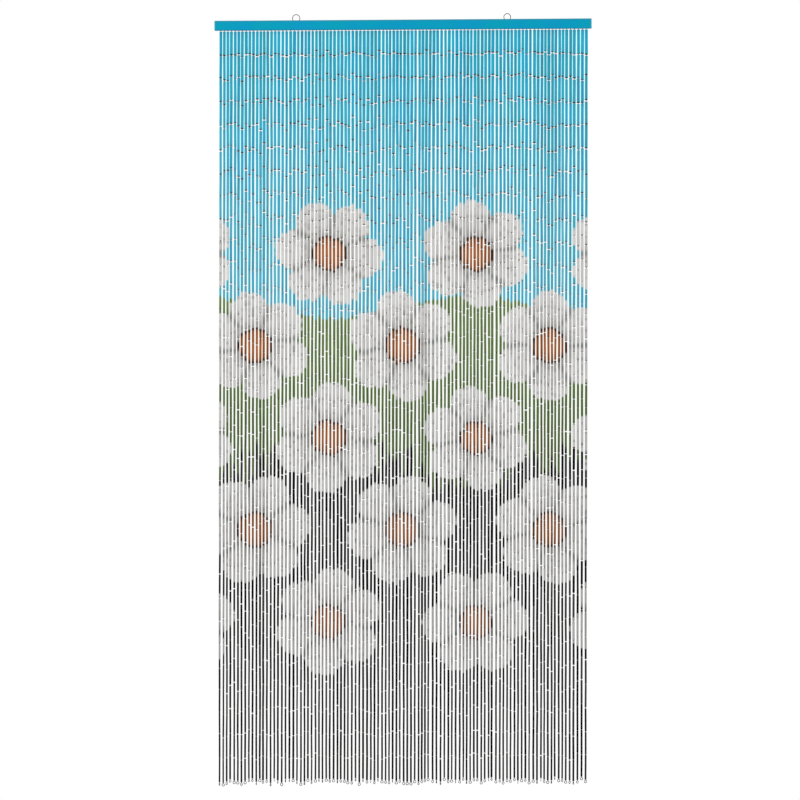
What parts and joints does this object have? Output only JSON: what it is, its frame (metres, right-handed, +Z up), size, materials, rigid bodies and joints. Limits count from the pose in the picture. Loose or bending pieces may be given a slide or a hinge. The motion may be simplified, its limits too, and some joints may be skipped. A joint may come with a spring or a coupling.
{
  "type": "bamboo bead door curtain with header rail",
  "caption": "Door curtain of painted bamboo tubes strung on wire, hanging in strands from a flat wooden header rail with wire eyes, each strand ending in a small ring.",
  "frame": {"origin": "middle of the header rail's top edge, half way through its thickness", "axes": "+X along the rail to the right as seen from the front, -Y towards the viewer with the flat back on +Y, +Z up"},
  "size_m": [1.0002, 0.014, 2.0526],
  "materials": {
    "rail_paint": "turquoise paint over fine wood grain, satin",
    "steel_wire": "dull bare steel wire",
    "painted_bamboo": "painted bamboo tubes, satin, with lengthwise fibres"
  },
  "bodies": {
    "root": {"header_rail": "rail_paint", "hanging_eye_left": "steel_wire", "hanging_eye_right": "steel_wire", "bamboo_strands": "painted_bamboo"}
  },
  "joints": []
}
